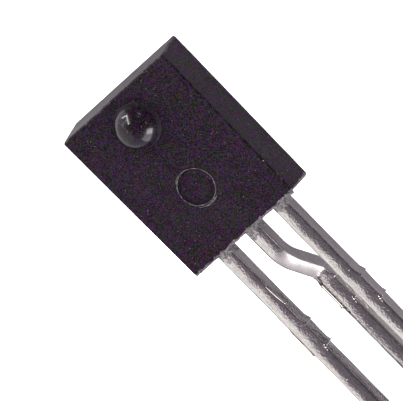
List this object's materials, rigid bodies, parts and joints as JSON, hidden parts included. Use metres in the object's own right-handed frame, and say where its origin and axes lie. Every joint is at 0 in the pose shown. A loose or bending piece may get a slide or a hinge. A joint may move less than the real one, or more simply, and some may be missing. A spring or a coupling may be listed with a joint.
{
  "type": "photodetector",
  "caption": "Side-looking photodetector: black epoxy body with a dome lens, and straight tinned leads of which the middle one is set back by a joggle.",
  "frame": {"origin": "middle of the bottom of the bounding box: the floor under the part as it lies on its back, lens up", "axes": "+X to the right seen from the lens side with the leads down, +Y up the body away from the leads, +Z the way the lens looks"},
  "size_m": [0.0046, 0.0208, 0.0029],
  "materials": {
    "black_epoxy": "fine spark-eroded mould texture, lens dome polished",
    "tinned_lead": "hot-tinned, bright, with fine pits",
    "silicon": "polished silicon",
    "silver_glue": "silver-filled glue",
    "gold_wire": "bright gold"
  },
  "bodies": {
    "root": {"package_body": "black_epoxy", "left_lead": "tinned_lead", "centre_lead": "tinned_lead", "right_lead": "tinned_lead", "sensor_die": "silicon", "die_attach": "silver_glue", "supply_wire": "gold_wire", "output_wire": "gold_wire", "ground_wire": "gold_wire"}
  },
  "joints": []
}
